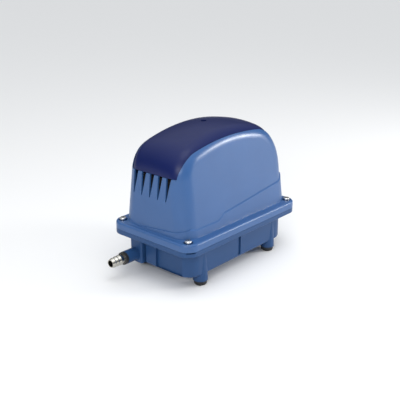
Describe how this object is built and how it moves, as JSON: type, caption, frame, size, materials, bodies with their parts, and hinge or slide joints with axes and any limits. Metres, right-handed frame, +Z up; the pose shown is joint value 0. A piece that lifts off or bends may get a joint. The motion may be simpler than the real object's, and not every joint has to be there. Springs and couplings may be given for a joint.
{
  "type": "air pump",
  "caption": "Pond air pump: arched two-part housing with lift-off filter cover, hose barb, rubber feet, and a linear-motor diaphragm pump inside.",
  "frame": {"origin": "on the floor, under the middle of the overall length and width", "axes": "+Z up, X along the pump with the hose barb towards -X, Y across it"},
  "size_m": [0.285, 0.152, 0.2111],
  "materials": {
    "housing_plastic": "satin",
    "base_plastic": "satin",
    "cover_plastic": "satin",
    "steel": "satin",
    "nickel": "polished",
    "rubber": "matte",
    "black_plastic": "satin",
    "tank_plastic": "matte",
    "white_plastic": "satin",
    "foam": "matte",
    "frame_metal": "satin",
    "aluminium": "satin",
    "laminations": "matte",
    "copper": "satin",
    "magnet": "polished",
    "lead_insulation": "satin"
  },
  "bodies": {
    "pump_body": {"upper_housing": "housing_plastic", "base_pan": "base_plastic", "cover_screws": "steel", "filter_foam": "foam", "housing_gasket": "rubber", "outlet_barb": "nickel", "outlet_collar": "black_plastic", "outlet_seal_ring": "rubber", "cord_gland": "rubber", "air_tank": "tank_plastic", "air_tank_lid": "tank_plastic", "motor_frame": "frame_metal", "frame_screws": "steel", "core_screws": "steel", "terminal_block": "white_plastic", "internal_leads": "lead_insulation", "front_left_foot": "rubber", "front_left_isolator": "rubber", "front_right_foot": "rubber", "front_right_isolator": "rubber", "front_diaphragm": "rubber", "front_head_body": "aluminium", "front_head_cover": "aluminium", "front_head_bolts": "steel", "front_head_pipe": "tank_plastic", "rear_left_foot": "rubber", "rear_left_isolator": "rubber", "rear_right_foot": "rubber", "rear_right_isolator": "rubber", "rear_diaphragm": "rubber", "rear_head_body": "aluminium", "rear_head_cover": "aluminium", "rear_head_bolts": "steel", "rear_head_pipe": "tank_plastic", "left_core": "laminations", "left_bobbin": "white_plastic", "left_coil": "copper", "right_core": "laminations", "right_bobbin": "white_plastic", "right_coil": "copper"},
    "filter_cover": {"filter_cover": "cover_plastic"},
    "cover_screw": {"filter_cover_screw": "steel"},
    "armature": {"armature_bar": "aluminium", "magnets": "magnet", "hub_discs": "frame_metal", "rod_nuts": "steel"},
    "front_inlet_valve": {"front_inlet_flap": "rubber"},
    "front_outlet_valve": {"front_outlet_flap": "rubber"},
    "rear_inlet_valve": {"rear_inlet_flap": "rubber"},
    "rear_outlet_valve": {"rear_outlet_flap": "rubber"}
  },
  "joints": [
    {"name": "filter_cover_lift", "type": "slide", "parent": "pump_body", "child": "filter_cover", "axis": [0, 0, 1], "range_m": [0, 0.06]},
    {"name": "cover_screw_turn", "type": "hinge", "parent": "filter_cover", "child": "cover_screw", "pos_m": [0.013, 0.005, 0.2], "axis": [0, 0, 1], "continuous": true},
    {"name": "armature_slide", "type": "slide", "parent": "pump_body", "child": "armature", "axis": [1, 0, 0], "range_m": [-0.002, 0.002], "stiffness_N_per_m": 3000, "deforming": ["rear_diaphragm", "front_diaphragm"]},
    {"name": "rear_inlet_flap_hinge", "type": "hinge", "parent": "pump_body", "child": "rear_inlet_valve", "pos_m": [0.1004, 0, 0.10125], "axis": [0, 1, 0], "range_deg": [0, 8], "stiffness_Nm_per_rad": 0.0005},
    {"name": "rear_outlet_flap_hinge", "type": "hinge", "parent": "pump_body", "child": "rear_outlet_valve", "pos_m": [0.1026, 0, 0.08375], "axis": [0, -1, 0], "range_deg": [0, 8], "stiffness_Nm_per_rad": 0.0005},
    {"name": "front_inlet_flap_hinge", "type": "hinge", "parent": "pump_body", "child": "front_inlet_valve", "pos_m": [-0.0654, 0, 0.10125], "axis": [0, -1, 0], "range_deg": [0, 8], "stiffness_Nm_per_rad": 0.0005},
    {"name": "front_outlet_flap_hinge", "type": "hinge", "parent": "pump_body", "child": "front_outlet_valve", "pos_m": [-0.0676, 0, 0.08375], "axis": [0, 1, 0], "range_deg": [0, 8], "stiffness_Nm_per_rad": 0.0005}
  ]
}
